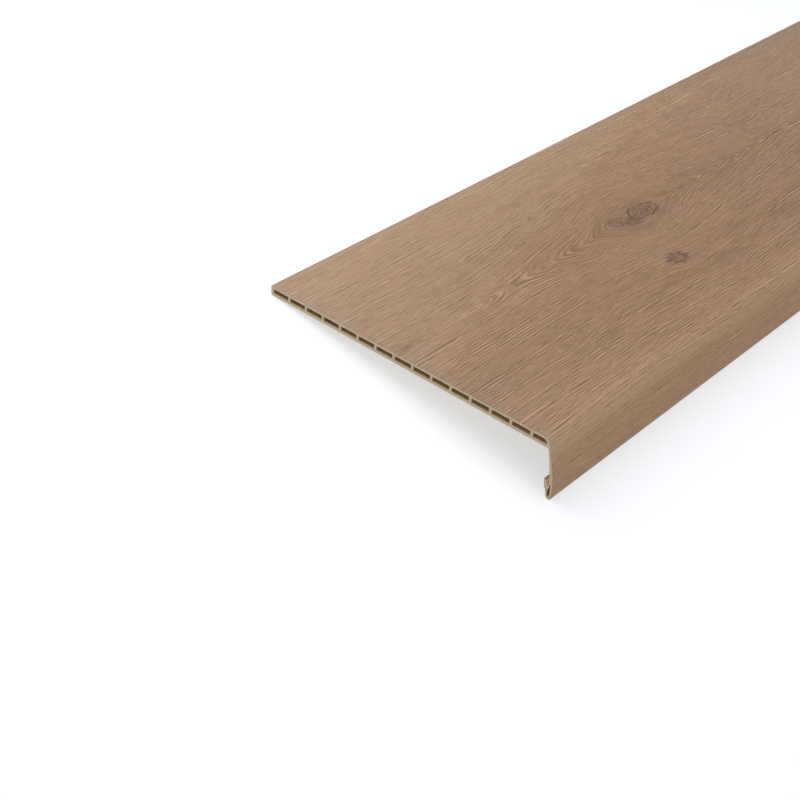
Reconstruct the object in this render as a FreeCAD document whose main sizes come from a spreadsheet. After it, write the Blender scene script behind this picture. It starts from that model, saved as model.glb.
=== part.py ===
import FreeCAD, Part
import Sketcher
import math
import os
from types import SimpleNamespace

# A stair tread for covering an old step: one length of a hollow-chamber board with a turned-down nose.
# The section is drawn level, with the back edge at y = 0, the walking face at z = 0 and the nose towards -y.
# The length runs along x. The finished length is then laid down as it rests on a level floor: on its back
# lower edge and on its toe.

SIZES = {
    # The whole length
    "tread_length": 1000,
    "tread_depth": 300,
    "nose_height": 54.4,
    # The hollow board
    "board_thickness": 9.2,
    "top_skin": 2.5,
    "bottom_skin": 2.7,
    "back_wall": 3.2,
    "web_thickness": 2.4,
    "chamber_width": 17.2,
    "chamber_corner": 0.4,
    "back_corner": 0.7,
    # The nose: a tight bend, a leaning wall and a belly that is foremost at belly_drop
    "bend_radius": 7,
    "nose_lean": 12.5,
    "belly_radius": 90,
    "belly_drop": 44,
    # The back of the nose wall leans less, so the wall grows thicker downwards
    "wall_top_thickness": 1.9,
    "wall_back_lean": 9.5,
    "wall_blend_radius": 25,
    "underside_fillet": 1.5,
    "front_chamber_wall": 2.8,
    "front_chamber_corner": 3.8,
    # The toe and the upturned lip behind it, which is offset backwards at a knee
    "toe_radius": 2.3,
    "toe_back_setback": 6.3,
    "toe_back_drop": 46.1,
    "knee_setback": 7.4,
    "knee_drop": 44.6,
    "lip_setback": 8.3,
    "lip_drop": 37.4,
    "lip_thickness": 1.7,
    # The slot between the lip and the nose wall
    "slot_face_setback": 3.7,
    "slot_floor_drop": 42.8,
    "slot_floor_radius": 0.5,
    # The closed chamber in the toe: a narrow neck between the slot and the outer skin, and a wider foot
    "toe_outer_skin": 1.9,
    "slot_skin": 0.75,
    "toe_floor": 2.9,
    "toe_chamber_radius": 1.1,
    "neck_top_drop": 40.9,
    "neck_foot_drop": 44.2,
    "shoulder_drop": 45.6,
}

PITCH = "(Sizes.chamber_width + Sizes.web_thickness)"
CHAMBER_COUNT = "(round((Sizes.tread_depth - Sizes.lip_setback - Sizes.back_wall) / %s) - 1)" % PITCH

ROOT = (-1, 1)
START = 1
END = 2
CENTRE = 3


def make_sheet(doc):
    sheet = doc.addObject("Spreadsheet::Sheet", "Sizes")
    for row, (name, value) in enumerate(SIZES.items(), start=1):
        sheet.set("A%d" % row, name)
        sheet.set("B%d" % row, str(value))
        sheet.setAlias("B%d" % row, name)
    doc.recompute()
    return sheet


def section_sketch(body, name):
    """A sketch on the plane across the length: its own x is the body's y, and its own y is the body's z."""
    planes = {feature.Role: feature for feature in body.Origin.OriginFeatures}
    sketch = body.newObject("Sketcher::SketchObject", name)
    sketch.AttachmentSupport = [(planes["YZ_Plane"], "")]
    sketch.MapMode = "FlatFace"
    return sketch


class Outline:
    """A closed outline of lines and arcs, laid end to end and turning anticlockwise."""

    def __init__(self, sketch):
        self.sketch = sketch
        self.edges = []

    def line(self, start, end):
        segment = Part.LineSegment(FreeCAD.Vector(*start), FreeCAD.Vector(*end))
        self.edges.append((self.sketch.addGeometry(segment), START, END))
        return self.edges[-1][0]

    def arc(self, centre, start, end, clockwise=False):
        first, last = (end, start) if clockwise else (start, end)
        from_angle = math.atan2(first[1] - centre[1], first[0] - centre[0])
        to_angle = math.atan2(last[1] - centre[1], last[0] - centre[0])
        if to_angle <= from_angle:
            to_angle += 2 * math.pi
        circle = Part.Circle(FreeCAD.Vector(*centre), FreeCAD.Vector(0, 0, 1), math.dist(centre, start))
        index = self.sketch.addGeometry(Part.ArcOfCircle(circle, from_angle, to_angle))
        self.edges.append((index, END, START) if clockwise else (index, START, END))
        return index

    def close(self, sharp=()):
        """Joins each edge to the next: smoothly, or at a corner where the first of the two is in sharp."""
        for place, (index, _, last) in enumerate(self.edges):
            after, first, _ = self.edges[(place + 1) % len(self.edges)]
            kind = "Coincident" if index in sharp else "Tangent"
            self.sketch.addConstraint(Sketcher.Constraint(kind, index, last, after, first))

    def rule(self, kind, *places):
        self.sketch.addConstraint(Sketcher.Constraint(kind, *places))

    def size(self, name, expression, kind, *places):
        """A dimension that follows the sheet."""
        value = float(self.sketch.evalExpression(expression))
        if kind == "Angle":
            value = math.radians(value)
        index = self.sketch.addConstraint(Sketcher.Constraint(kind, *places, value))
        self.sketch.renameConstraint(index, name)
        self.sketch.setExpression("Constraints." + name, expression)


def facing(lean_degrees):
    """The unit normal, towards the front, of a wall that leans out downwards by this angle."""
    lean = math.radians(lean_degrees)
    return (-math.cos(lean), math.sin(lean))


def moved(point, way, distance):
    return (point[0] + way[0] * distance, point[1] + way[1] * distance)


def tangent_foot(centre, radius, outside):
    """Where the line from an outside point touches a circle, on the right of the way to the centre."""
    reach = math.dist(centre, outside)
    angle = math.atan2(outside[1] - centre[1], outside[0] - centre[0]) - math.acos(radius / reach)
    return moved(centre, (math.cos(angle), math.sin(angle)), radius)


def nose_points(s):
    """Centres and joins of the nose, as (y, z)."""
    out = facing(s.nose_lean)
    belly = (s.belly_radius - s.tread_depth, -s.belly_drop)
    wall_foot = moved(belly, out, s.belly_radius)
    bend_y = wall_foot[0] - (s.bend_radius - (s.bend_radius + wall_foot[1]) * out[1]) / out[0]
    bend = (bend_y, -s.bend_radius)
    wall_head = moved(bend, out, s.bend_radius)
    toe_z = s.toe_radius - s.nose_height
    reach = s.belly_radius - s.toe_radius
    toe = (belly[0] - math.sqrt(reach ** 2 - (toe_z - belly[1]) ** 2), toe_z)
    toe_way = ((toe[0] - belly[0]) / reach, (toe[1] - belly[1]) / reach)
    toe_back = (s.toe_back_setback - s.tread_depth, -s.toe_back_drop)
    return SimpleNamespace(out=out, belly=belly, bend=bend, wall_head=wall_head, wall_foot=wall_foot, toe=toe,
                           toe_start=moved(belly, toe_way, s.belly_radius), toe_back=toe_back,
                           toe_end=tangent_foot(toe, s.toe_radius, toe_back))


def extrude_section(body, s):
    """The outer section: board, bend, nose wall, toe and lip."""
    p = nose_points(s)
    sketch = section_sketch(body, "Section")
    outline = Outline(sketch)
    corner = s.back_corner
    top = outline.line((-corner, 0), (p.bend[0], 0))
    bend = outline.arc(p.bend, (p.bend[0], 0), p.wall_head)
    wall = outline.line(p.wall_head, p.wall_foot)
    belly = outline.arc(p.belly, p.wall_foot, p.toe_start)
    toe = outline.arc(p.toe, p.toe_start, p.toe_end)
    knee = (s.knee_setback - s.tread_depth, -s.knee_drop)
    lip = (s.lip_setback - s.tread_depth, -s.lip_drop)
    lip_inner = (lip[0] - s.lip_thickness, lip[1])
    toe_back = outline.line(p.toe_end, p.toe_back)
    step = outline.line(p.toe_back, knee)
    lip_back = outline.line(knee, lip)
    lip_top = outline.line(lip, lip_inner)

    slot_y = s.slot_face_setback - s.tread_depth
    slot_centre = (slot_y + s.slot_floor_radius, s.slot_floor_radius - s.slot_floor_drop)
    slot_foot = tangent_foot(slot_centre, s.slot_floor_radius, lip_inner)
    outline.line(lip_inner, slot_foot)
    slot_floor = outline.arc(slot_centre, slot_foot, (slot_y, slot_centre[1]), clockwise=True)

    back_out = facing(s.wall_back_lean)
    lean = math.radians(s.wall_back_lean)
    fillet_z = -s.board_thickness - s.underside_fillet
    foot_z = fillet_z + s.underside_fillet * back_out[1]
    foot_y = p.wall_foot[0] - (s.wall_top_thickness + (foot_z - p.wall_foot[1]) * p.out[1]) / p.out[0]
    fillet_foot = (foot_y, foot_z)
    fillet_centre = moved(fillet_foot, back_out, -s.underside_fillet)
    crook_z = foot_z - (foot_y - slot_y) / math.tan(lean)
    half_blend = s.wall_blend_radius * math.tan(lean / 2)
    blend_low = (slot_y, crook_z - half_blend)
    blend_high = (slot_y + half_blend * math.sin(lean), crook_z + half_blend * math.cos(lean))
    slot_face = outline.line((slot_y, slot_centre[1]), blend_low)
    blend = outline.arc((slot_y + s.wall_blend_radius, blend_low[1]), blend_low, blend_high, clockwise=True)
    wall_back = outline.line(blend_high, fillet_foot)
    fillet = outline.arc(fillet_centre, fillet_foot, (fillet_centre[0], -s.board_thickness), clockwise=True)
    underside = outline.line((fillet_centre[0], -s.board_thickness), (-corner, -s.board_thickness))
    low_corner = outline.arc((-corner, corner - s.board_thickness), (-corner, -s.board_thickness),
                             (0, corner - s.board_thickness))
    back = outline.line((0, corner - s.board_thickness), (0, -corner))
    high_corner = outline.arc((-corner, -corner), (0, -corner), (-corner, 0))
    outline.close(sharp=(toe_back, step, lip_back, lip_top))

    outline.rule("Horizontal", top)
    outline.rule("Horizontal", underside)
    outline.rule("Vertical", back)
    outline.rule("Horizontal", lip_top)
    outline.rule("Vertical", slot_face)
    outline.rule("PointOnObject", top, START, -1)
    outline.rule("PointOnObject", back, START, -2)
    outline.rule("Equal", low_corner, high_corner)
    outline.size("back_corner", "Sizes.back_corner", "Radius", high_corner)
    outline.size("thickness", "Sizes.board_thickness", "DistanceY", underside, START, *ROOT)
    outline.size("bend_radius", "Sizes.bend_radius", "Radius", bend)
    outline.size("lean", "-(90 + Sizes.nose_lean)", "Angle", wall)
    outline.size("belly_radius", "Sizes.belly_radius", "Radius", belly)
    outline.size("belly_reach", "Sizes.tread_depth - Sizes.belly_radius", "DistanceX", belly, CENTRE, *ROOT)
    outline.size("belly_drop", "Sizes.belly_drop", "DistanceY", belly, CENTRE, *ROOT)
    outline.size("toe_radius", "Sizes.toe_radius", "Radius", toe)
    outline.size("toe_drop", "Sizes.nose_height - Sizes.toe_radius", "DistanceY", toe, CENTRE, *ROOT)
    outline.size("toe_back_reach", "Sizes.tread_depth - Sizes.toe_back_setback", "DistanceX",
                 toe_back, END, *ROOT)
    outline.size("toe_back_drop", "Sizes.toe_back_drop", "DistanceY", toe_back, END, *ROOT)
    outline.size("knee_reach", "Sizes.tread_depth - Sizes.knee_setback", "DistanceX", step, END, *ROOT)
    outline.size("knee_drop", "Sizes.knee_drop", "DistanceY", step, END, *ROOT)
    outline.size("lip_reach", "Sizes.tread_depth - Sizes.lip_setback", "DistanceX", lip_back, END, *ROOT)
    outline.size("lip_drop", "Sizes.lip_drop", "DistanceY", lip_back, END, *ROOT)
    outline.size("lip_thickness", "Sizes.lip_thickness", "Distance", lip_top)
    outline.size("slot_reach", "Sizes.tread_depth - Sizes.slot_face_setback", "DistanceX",
                 slot_face, START, *ROOT)
    outline.size("slot_drop", "Sizes.slot_floor_drop - Sizes.slot_floor_radius", "DistanceY",
                 slot_floor, CENTRE, *ROOT)
    outline.size("slot_radius", "Sizes.slot_floor_radius", "Radius", slot_floor)
    outline.size("blend_radius", "Sizes.wall_blend_radius", "Radius", blend)
    outline.size("wall_top", "Sizes.wall_top_thickness", "Distance", wall_back, END, wall)
    outline.size("back_lean", "90 - Sizes.wall_back_lean", "Angle", wall_back)
    outline.size("fillet_radius", "Sizes.underside_fillet", "Radius", fillet)

    pad = body.newObject("PartDesign::Pad", "Extrusion")
    pad.Profile = sketch
    pad.setExpression("Length", "Sizes.tread_length")


def cut_through(body, name, sketch):
    """Cuts a sketch through the whole length."""
    pocket = body.newObject("PartDesign::Pocket", name)
    pocket.Profile = sketch
    pocket.Reversed = True
    pocket.setExpression("Length", "Sizes.tread_length")
    return pocket


def cut_chambers(body, s):
    """The like chambers, from the back wall on. The last of them ends one web before the front chamber."""
    sketch = section_sketch(body, "Chamber")
    outline = Outline(sketch)
    corner = s.chamber_corner
    back = -s.back_wall
    front = back - s.chamber_width
    high = -s.top_skin
    low = s.bottom_skin - s.board_thickness
    ceiling = outline.line((back - corner, high), (front + corner, high))
    outline.arc((front + corner, high - corner), (front + corner, high), (front, high - corner))
    front_side = outline.line((front, high - corner), (front, low + corner))
    outline.arc((front + corner, low + corner), (front, low + corner), (front + corner, low))
    floor = outline.line((front + corner, low), (back - corner, low))
    outline.arc((back - corner, low + corner), (back - corner, low), (back, low + corner))
    back_side = outline.line((back, low + corner), (back, high - corner))
    outline.arc((back - corner, high - corner), (back, high - corner), (back - corner, high))
    outline.close()
    sides = (ceiling, front_side, floor, back_side)
    corners = [index for index in range(sketch.GeometryCount) if index not in sides]
    for other in corners[1:]:
        outline.rule("Equal", corners[0], other)
    outline.rule("Horizontal", ceiling)
    outline.rule("Horizontal", floor)
    outline.rule("Vertical", front_side)
    outline.rule("Vertical", back_side)
    outline.size("corner", "Sizes.chamber_corner", "Radius", corners[0])
    outline.size("back_wall", "Sizes.back_wall", "DistanceX", back_side, START, *ROOT)
    outline.size("front", "Sizes.back_wall + Sizes.chamber_width", "DistanceX", front_side, START, *ROOT)
    outline.size("top_skin", "Sizes.top_skin", "DistanceY", ceiling, START, *ROOT)
    outline.size("floor", "Sizes.board_thickness - Sizes.bottom_skin", "DistanceY", floor, START, *ROOT)
    pocket = cut_through(body, "ChamberCut", sketch)

    pattern = body.newObject("PartDesign::LinearPattern", "Chambers")
    pattern.Originals = [pocket]
    pattern.Direction = (sketch, ["H_Axis"])
    pattern.Reversed = True
    pattern.setExpression("Occurrences", CHAMBER_COUNT)
    pattern.setExpression("Length", "(%s - 1) * %s" % (CHAMBER_COUNT, PITCH))
    body.Tip = pattern


def cut_front_chamber(body, s):
    """The chamber at the nose: shorter, with its outer corner rounded as the bend is."""
    p = nose_points(s)
    count = float(body.Document.Sizes.evalExpression(CHAMBER_COUNT))
    sketch = section_sketch(body, "FrontChamber")
    outline = Outline(sketch)
    corner = s.chamber_corner
    big = s.front_chamber_corner
    back = -s.back_wall - count * (s.chamber_width + s.web_thickness)
    high = -s.top_skin
    low = s.bottom_skin - s.board_thickness
    wall = moved(p.wall_foot, p.out, -s.front_chamber_wall)

    def beside_wall(radius, z):
        """A rounding that touches the chamber's front side: its centre, and where it touches."""
        centre = (wall[0] - (radius + (z - wall[1]) * p.out[1]) / p.out[0], z)
        return centre, moved(centre, p.out, radius)

    big_centre, wall_high = beside_wall(big, high - big)
    small_centre, wall_low = beside_wall(corner, low + corner)
    ceiling = outline.line((back - corner, high), (big_centre[0], high))
    big_corner = outline.arc(big_centre, (big_centre[0], high), wall_high)
    wall_side = outline.line(wall_high, wall_low)
    low_corner = outline.arc(small_centre, wall_low, (small_centre[0], low))
    floor = outline.line((small_centre[0], low), (back - corner, low))
    back_low = outline.arc((back - corner, low + corner), (back - corner, low), (back, low + corner))
    back_side = outline.line((back, low + corner), (back, high - corner))
    back_high = outline.arc((back - corner, high - corner), (back, high - corner), (back - corner, high))
    outline.close()
    belly = sketch.addGeometry(Part.Circle(FreeCAD.Vector(*p.belly), FreeCAD.Vector(0, 0, 1),
                                           s.belly_radius - s.front_chamber_wall), True)
    outline.rule("Horizontal", ceiling)
    outline.rule("Horizontal", floor)
    outline.rule("Vertical", back_side)
    outline.rule("Equal", low_corner, back_low)
    outline.rule("Equal", low_corner, back_high)
    outline.rule("Tangent", wall_side, belly)
    outline.size("belly_radius", "Sizes.belly_radius - Sizes.front_chamber_wall", "Radius", belly)
    outline.size("belly_reach", "Sizes.tread_depth - Sizes.belly_radius", "DistanceX", belly, CENTRE, *ROOT)
    outline.size("belly_drop", "Sizes.belly_drop", "DistanceY", belly, CENTRE, *ROOT)
    outline.size("lean", "-(90 + Sizes.nose_lean)", "Angle", wall_side)
    outline.size("corner", "Sizes.chamber_corner", "Radius", low_corner)
    outline.size("front_corner", "Sizes.front_chamber_corner", "Radius", big_corner)
    outline.size("back", "Sizes.back_wall + %s * %s" % (CHAMBER_COUNT, PITCH), "DistanceX",
                 back_side, START, *ROOT)
    outline.size("top_skin", "Sizes.top_skin", "DistanceY", ceiling, START, *ROOT)
    outline.size("floor", "Sizes.board_thickness - Sizes.bottom_skin", "DistanceY", floor, START, *ROOT)
    cut_through(body, "FrontChamberCut", sketch)


def cut_toe_chamber(body, s):
    """The closed chamber in the toe: a narrow neck beside the slot, a shoulder and a wider, rounded foot."""
    belly = nose_points(s).belly
    sketch = section_sketch(body, "ToeChamber")
    outline = Outline(sketch)
    radius = s.belly_radius - s.toe_outer_skin

    def front_at(z, inset=0):
        return belly[0] - math.sqrt((radius - inset) ** 2 - (z - belly[1]) ** 2)

    neck_y = s.slot_face_setback - s.slot_skin - s.tread_depth
    top_z = -s.neck_top_drop
    foot_z = s.toe_floor + s.toe_chamber_radius - s.nose_height
    foot = (front_at(foot_z, s.toe_chamber_radius), foot_z)
    reach = radius - s.toe_chamber_radius
    foot_start = moved(belly, ((foot[0] - belly[0]) / reach, (foot[1] - belly[1]) / reach), radius)
    back_y = foot[0] + s.toe_chamber_radius
    front_side = outline.arc(belly, (front_at(top_z), top_z), foot_start)
    bottom = outline.arc(foot, foot_start, (back_y, foot_z))
    back_side = outline.line((back_y, foot_z), (back_y, -s.shoulder_drop))
    shoulder = outline.line((back_y, -s.shoulder_drop), (neck_y, -s.neck_foot_drop))
    neck = outline.line((neck_y, -s.neck_foot_drop), (neck_y, top_z))
    cap = outline.line((neck_y, top_z), (front_at(top_z), top_z))
    outline.close(sharp=(back_side, shoulder, neck, cap))
    outline.rule("Vertical", back_side)
    outline.rule("Vertical", neck)
    outline.rule("Horizontal", cap)
    outline.size("belly_radius", "Sizes.belly_radius - Sizes.toe_outer_skin", "Radius", front_side)
    outline.size("belly_reach", "Sizes.tread_depth - Sizes.belly_radius", "DistanceX",
                 front_side, CENTRE, *ROOT)
    outline.size("belly_drop", "Sizes.belly_drop", "DistanceY", front_side, CENTRE, *ROOT)
    outline.size("foot_radius", "Sizes.toe_chamber_radius", "Radius", bottom)
    outline.size("foot_drop", "Sizes.nose_height - Sizes.toe_floor - Sizes.toe_chamber_radius", "DistanceY",
                 bottom, CENTRE, *ROOT)
    outline.size("shoulder_drop", "Sizes.shoulder_drop", "DistanceY", shoulder, START, *ROOT)
    outline.size("neck_foot_drop", "Sizes.neck_foot_drop", "DistanceY", neck, START, *ROOT)
    outline.size("neck_reach", "Sizes.tread_depth - Sizes.slot_face_setback + Sizes.slot_skin", "DistanceX",
                 neck, START, *ROOT)
    outline.size("neck_top", "Sizes.neck_top_drop", "DistanceY", cap, START, *ROOT)
    cut_through(body, "ToeChamberCut", sketch)


def resting_place(shape, s):
    """Turns the length so that its back lower corner and its toe share the floor, and centres it."""
    p = nose_points(s)
    back = (-s.back_corner, s.back_corner - s.board_thickness)
    slope = math.atan2(back[1] - p.toe[1], back[0] - p.toe[0])
    tilt = slope + math.asin((s.toe_radius - s.back_corner) / math.dist(back, p.toe))
    turn = FreeCAD.Placement(FreeCAD.Vector(), FreeCAD.Rotation(FreeCAD.Vector(1, 0, 0), -math.degrees(tilt)))
    turned = shape.copy()
    turned.Placement = turn
    box = turned.BoundBox
    to_middle = FreeCAD.Vector(-box.Center.x, -box.Center.y, -box.ZMin)
    return FreeCAD.Placement(to_middle, turn.Rotation)


def make_tread_board(doc, s):
    body = doc.addObject("PartDesign::Body", "TreadBoard")
    body.Label = "tread_board"
    extrude_section(body, s)
    cut_chambers(body, s)
    cut_front_chamber(body, s)
    cut_toe_chamber(body, s)
    doc.recompute()
    body.Placement = resting_place(body.Shape, s)
    return body


def write_parts(doc, bodies):
    doc.recompute()
    for thing in doc.Objects:
        if "Invalid" in thing.State or "Error" in thing.State:
            raise RuntimeError("%s did not build: %s" % (thing.Name, thing.State))
    os.makedirs("parts", exist_ok=True)
    for body in bodies:
        shape = body.Shape
        if shape.isNull() or not shape.isValid() or len(shape.Solids) != 1:
            raise RuntimeError("%s is not one valid solid" % body.Label)
        shape.exportStep("parts/%s.step" % body.Label)
        print(body.Label, "volume %.0f mm3" % shape.Volume, shape.BoundBox)


def main():
    doc = FreeCAD.newDocument("StairTread")
    make_sheet(doc)
    write_parts(doc, [make_tread_board(doc, SimpleNamespace(**SIZES))])


main()
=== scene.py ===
import math
from functools import partialmethod, reduce

import bpy
from bpy.props import FloatProperty, FloatVectorProperty, IntProperty, PointerProperty
from bpy.types import Operator, Panel, PropertyGroup
from mathutils import Matrix, Vector


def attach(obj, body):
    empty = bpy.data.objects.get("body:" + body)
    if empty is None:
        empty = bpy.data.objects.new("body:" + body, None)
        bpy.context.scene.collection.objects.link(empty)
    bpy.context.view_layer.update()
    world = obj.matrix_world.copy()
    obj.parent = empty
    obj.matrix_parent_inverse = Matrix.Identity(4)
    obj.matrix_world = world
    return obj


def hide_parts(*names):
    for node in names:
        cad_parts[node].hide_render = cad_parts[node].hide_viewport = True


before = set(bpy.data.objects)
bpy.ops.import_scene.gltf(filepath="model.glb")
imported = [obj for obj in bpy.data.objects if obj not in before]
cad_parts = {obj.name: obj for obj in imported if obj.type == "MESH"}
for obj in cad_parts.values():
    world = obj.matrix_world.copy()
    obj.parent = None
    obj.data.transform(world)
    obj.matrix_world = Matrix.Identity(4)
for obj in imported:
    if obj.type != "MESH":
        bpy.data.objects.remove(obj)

bl_info = {
    "name": "Hollow-chamber stair tread",
    "version": (1, 0, 0),
    "blender": (4, 5, 0),
    "location": "View3D > Sidebar > Stair tread",
    "description": "Makes the hollow board, its oak decor and the studio around them",
    "category": "Object",
}

NODE = "tread_board"
GRAIN = "grain_at"  # how far along and across a point of the decor lies
ACROSS = "across"  # the same across, on its section
# The chambers' mark also says where the compound gets its painted shade
CHAMBER = "in_chamber"  # one on the chambers' walls
SECTION = "section_at"  # where a point lies in the level section
MILLIMETRES = 1000.0
ARC_STEP = math.radians(2)
SHARP_FROM = math.radians(25)
BROKEN_FROM = math.radians(40)
CORNER_POINTS = 5
MERGE_DISTANCE = 1e-6
FLOOR_HALF = 12.0
LAMP_SIZE = 1.2
SENSOR_WIDTH = 36
COLOUR_A, COLOUR_B, COLOUR_RESULT = 6, 7, 2  # the places of a mix node's colour sockets

# Sizes and colours


def length(name, millimetres, description):
    return FloatProperty(name=name, description=description, default=millimetres / MILLIMETRES, min=0,
                         precision=4, unit="LENGTH", subtype="DISTANCE")


def angle(name, degrees, description):
    return FloatProperty(name=name, description=description, default=math.radians(degrees),
                         unit="ROTATION", subtype="ANGLE")


def share(name, value, description):
    return FloatProperty(name=name, description=description, default=value, min=0, max=1, subtype="FACTOR")


def colour(name, red, green, blue, description):
    """A colour given as it shows on a screen, from 0 to 255."""
    linear = [((c / 255 + 0.055) / 1.055) ** 2.4 for c in (red, green, blue)]
    return FloatVectorProperty(name=name, description=description, default=(*linear, 1), size=4, min=0, max=1,
                               subtype="COLOR")


class TREAD_PG_board(PropertyGroup):
    tread_length: length("Length", 1000, "Length of the tread")
    tread_depth: length("Depth", 300, "From the back edge to the foremost point of the nose")
    board_thickness: length("Thickness", 9.2, "Thickness of the hollow board")
    top_skin: length("Top skin", 2.5, "Skin over the chambers")
    bottom_skin: length("Bottom skin", 2.7, "Skin under the chambers")
    back_wall: length("Back wall", 3.2, "Wall behind the rearmost chamber")
    web_thickness: length("Web", 2.4, "Wall between two chambers")
    chamber_width: length("Chamber width", 17.2, "Width of a chamber")
    chamber_count: IntProperty(name="Chambers", description="Like chambers behind the front one", default=14, min=1)
    chamber_corner: length("Chamber corner", 0.4, "Rounding in the chambers")
    back_corner: length("Back corner", 0.7, "Rounding of the back edge's corners")
    end_chamfer: length("End chamfer", 0.12, "Broken edge around the sawn ends")


class TREAD_PG_nose(PropertyGroup):
    height: length("Height", 54.4, "From the walking face to the foot of the nose")
    bend_radius: length("Bend", 7, "Radius between the walking face and the nose wall")
    lean: angle("Lean", 12.5, "How far the nose wall leans out downwards")
    belly_radius: length("Belly", 90, "Radius of the lower nose")
    belly_drop: length("Belly drop", 44, "Where the nose is foremost, under the walking face")
    wall_top_thickness: length("Wall", 1.9, "Thickness of the nose wall just under the board")
    wall_back_lean: angle("Back lean", 9.5, "Lean of the nose wall's back")
    wall_blend_radius: length("Wall blend", 25, "Radius where the wall's back turns upright")
    underside_fillet: length("Underside fillet", 1.5, "Rounding between the underside and the nose wall")
    front_chamber_wall: length("Front chamber wall", 2.8, "Wall in front of the front chamber")
    front_chamber_corner: length("Front chamber corner", 3.8, "Rounding of the front chamber under the bend")


class TREAD_PG_toe(PropertyGroup):
    radius: length("Toe", 2.3, "Rounding of the toe")
    back_setback: length("Toe back setback", 6.3, "Back of the toe, from the foremost point")
    back_drop: length("Toe back drop", 46.1, "Top of the toe's back, under the walking face")
    knee_setback: length("Knee setback", 7.4, "Knee of the lip, from the foremost point")
    knee_drop: length("Knee drop", 44.6, "Knee of the lip, under the walking face")
    lip_setback: length("Lip setback", 8.3, "Top of the lip, from the foremost point")
    lip_drop: length("Lip drop", 37.4, "Top of the lip, under the walking face")
    lip_thickness: length("Lip thickness", 1.7, "Thickness of the lip at its top")
    slot_face_setback: length("Slot face", 3.7, "Front of the slot, from the foremost point")
    slot_floor_drop: length("Slot floor", 42.8, "Foot of the slot, under the walking face")
    slot_floor_radius: length("Slot rounding", 0.5, "Rounding at the slot's foot")
    outer_skin: length("Outer skin", 1.9, "Skin in front of the toe's chamber")
    slot_skin: length("Slot skin", 0.75, "Skin between the slot and the toe's chamber")
    floor: length("Toe floor", 2.9, "Wall under the toe's chamber")
    chamber_radius: length("Toe chamber rounding", 1.1, "Rounding at the foot of the toe's chamber")
    neck_top_drop: length("Neck top", 40.9, "Top of the toe's chamber, under the walking face")
    neck_foot_drop: length("Neck foot", 44.2, "Foot of the narrow neck, under the walking face")
    shoulder_drop: length("Shoulder", 45.6, "Shoulder of the toe's chamber, under the walking face")


class TREAD_PG_decor(PropertyGroup):
    thickness: length("Decor thickness", 0.3, "Thickness of the oak decor")
    light: colour("Light oak", 188, 158, 129, "Early wood")
    mid: colour("Oak", 158, 128, 103, "Middle tone")
    dark: colour("Dark oak", 122, 93, 68, "Late wood and pores")
    honey: colour("Honey oak", 168, 132, 96, "Warmer patches")
    # Painted light: a slightly lighter, cooler cast towards the back-left corner, standing in for the back lamp's
    # light and sheen there
    painted_corner_light: colour("Painted corner light", 251, 255, 255, "Laid over the oak towards the back edge")
    knot: colour("Knot", 90, 68, 59, "Knots and their cracks")
    figure: share("Figure", 0.8, "Strength of the growth rings and hairlines")
    pores: share("Pores", 0.5, "Strength of the pores")


class TREAD_PG_compound(PropertyGroup):
    cut: colour("Sawn compound", 198, 177, 150, "Freshly sawn end")
    # Partly the extruded compound's own colour, partly painted light: lightened so that the slot, deep in shade under
    # the board, comes out light
    skin: colour("Extruded compound", 218, 199, 171, "Bare outer faces: underside, back and slot")
    # Painted shade: the same compound, browner and darker inside the deep chambers, where little light gets in
    chamber: colour("Chambers", 168, 139, 100, "Browner faces inside the chambers")
    fleck: colour("Wood flour", 160, 136, 108, "Flecks of wood flour")


class TREAD_PG_studio(PropertyGroup):
    floor_colour: colour("Floor", 243, 243, 243, "Plain pale floor, as it lights the tread")
    floor_seen: colour("Floor seen", 185, 189, 195, "The floor's own shade where the camera sees it")
    floor_white: share("Floor white", 0.56, "White that the camera sees on top of the floor's own shade")
    backdrop: share("Backdrop", 1, "White that the camera sees")
    sky: FloatProperty(name="Sky", description="Even light from all round", default=0.55, min=0)
    back_lamp: FloatProperty(name="Back lamp", description="Power of the soft lamp behind and to the left",
                             default=9.7, min=0, unit="POWER")
    front_lamp: FloatProperty(name="Front lamp", description="Power of the soft lamp over the nose",
                              default=6, min=0, unit="POWER")
    camera_place: FloatVectorProperty(name="Camera", description="Place of the camera", size=3,
                                      default=(-1.164879, -0.477124, 0.720316), subtype="TRANSLATION", unit="LENGTH")
    camera_turn: FloatVectorProperty(name="Camera turn", description="Turn of the camera", size=3,
                                     default=[math.radians(v) for v in (47.71831, -8.32952, -46.84360)],
                                     subtype="EULER")
    focal_length: FloatProperty(name="Focal length", description="For a frame 36 mm wide", default=62.19, min=1,
                                unit="CAMERA")


class TREAD_PG_all(PropertyGroup):
    board: PointerProperty(type=TREAD_PG_board)
    nose: PointerProperty(type=TREAD_PG_nose)
    toe: PointerProperty(type=TREAD_PG_toe)
    decor: PointerProperty(type=TREAD_PG_decor)
    compound: PointerProperty(type=TREAD_PG_compound)
    studio: PointerProperty(type=TREAD_PG_studio)


# The section: level, as (y, z), with the back edge at y = 0, the walking face at z = 0 and the nose towards -y


def facing(lean):
    """The unit normal, towards the front, of a wall that leans out downwards."""
    return Vector((-math.cos(lean), math.sin(lean)))


class Outline(list):
    """A line of points that grows by straight steps and by arcs."""

    def __init__(self, *points):
        super().__init__(map(Vector, points))

    def to(self, *points):
        self += map(Vector, points)

    def around(self, centre, end, clockwise=False):
        centre, end = Vector(centre), Vector(end)
        first, last = self[-1] - centre, end - centre
        begin = math.atan2(first.y, first.x)
        sweep = (math.atan2(last.y, last.x) - begin) % math.tau
        if clockwise:
            sweep -= math.tau
        steps = max(3, math.ceil(abs(sweep) / ARC_STEP))
        turns = [begin + sweep * i / steps for i in range(1, steps + 1)]
        self += [centre + Vector((math.cos(t), math.sin(t))) * first.length for t in turns]


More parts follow.
